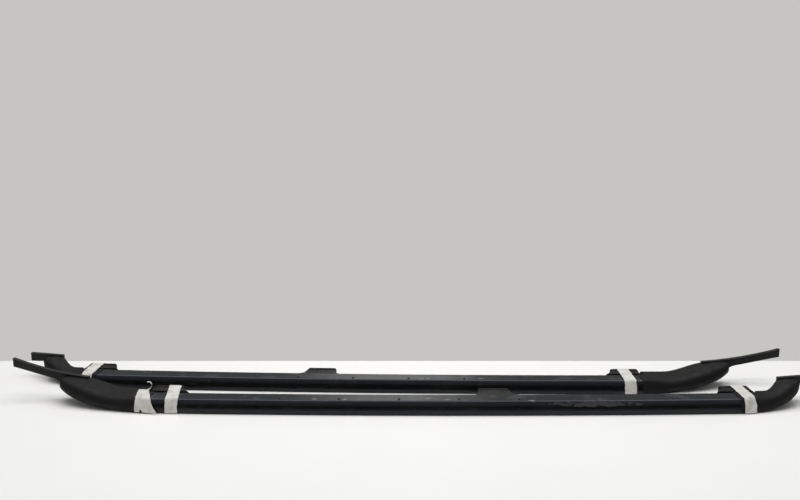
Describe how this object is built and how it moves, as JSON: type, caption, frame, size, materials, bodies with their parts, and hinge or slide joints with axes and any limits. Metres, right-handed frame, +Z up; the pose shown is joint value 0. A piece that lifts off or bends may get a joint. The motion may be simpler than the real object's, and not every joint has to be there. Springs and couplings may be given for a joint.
{
  "type": "roof side rail pair",
  "caption": "Left and right raised roof side rails: crowned hollow bars with moulded end covers, base strips with tongues, feet on rubber pads and studs, lying on their sides.",
  "frame": {"origin": "on the floor under the middle of the pair's outer box", "axes": "+X along the rails, towards the left rail's short end; +Y from the bars' crown to the roof side; +Z up, which is inboard on the vehicle"},
  "size_m": [2.1812, 0.3441, 0.109],
  "materials": {
    "bar_gloss": "gloss black",
    "cover_plastic": "fine grain, matt black",
    "strip_plastic": "matt black, flexible",
    "cast_metal": "satin black",
    "gasket_rubber": "matt black",
    "fastener_steel": "zinc plated",
    "tape_paper": "matt white, creped"
  },
  "bodies": {
    "root": {"left_bar": "bar_gloss", "left_base_strips": "strip_plastic", "left_cover_screws": "fastener_steel", "left_end_covers": "cover_plastic", "left_foot_screws": "fastener_steel", "left_long_foot": "cast_metal", "left_long_gasket": "gasket_rubber", "left_long_tape": "tape_paper", "left_mid_foot": "cast_metal", "left_mid_gasket": "gasket_rubber", "left_roof_studs": "fastener_steel", "left_short_foot": "cast_metal", "left_short_gasket": "gasket_rubber", "left_short_tape": "tape_paper", "left_torn_tape": "tape_paper", "right_bar": "bar_gloss", "right_base_strips": "strip_plastic", "right_cover_screws": "fastener_steel", "right_end_covers": "cover_plastic", "right_foot_screws": "fastener_steel", "right_long_foot": "cast_metal", "right_long_gasket": "gasket_rubber", "right_long_tape": "tape_paper", "right_mid_foot": "cast_metal", "right_mid_gasket": "gasket_rubber", "right_roof_studs": "fastener_steel", "right_short_foot": "cast_metal", "right_short_gasket": "gasket_rubber", "right_short_tape": "tape_paper"}
  },
  "joints": []
}
